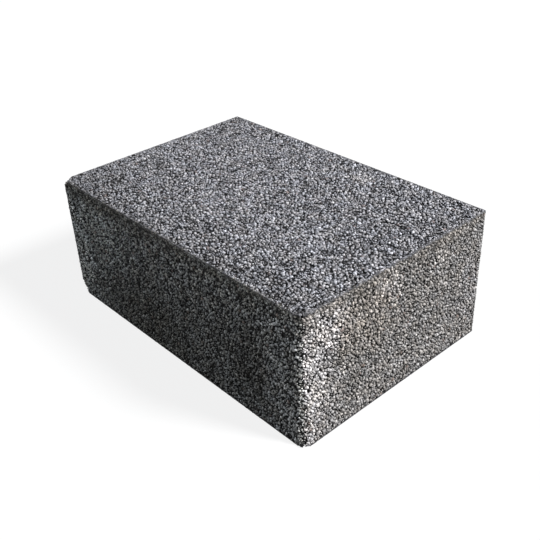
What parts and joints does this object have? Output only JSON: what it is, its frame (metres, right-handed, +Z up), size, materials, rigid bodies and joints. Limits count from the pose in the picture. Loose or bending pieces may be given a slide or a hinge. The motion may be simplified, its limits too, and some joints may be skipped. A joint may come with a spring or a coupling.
{
  "type": "expanded clay block",
  "caption": "Solid rectangular masonry block of porous expanded clay concrete, laid on its bed face in mortar to build or insulate a wall.",
  "frame": {"origin": "middle of the lower bed face, which the block stands on", "axes": "+Z up through the block's height, X along its length, Y through the thickness of the wall"},
  "size_m": [0.49, 0.33, 0.19],
  "materials": {
    "expanded_clay_concrete": "matt, open-pored, granular"
  },
  "bodies": {
    "root": {"clay_block": "expanded_clay_concrete"}
  },
  "joints": []
}
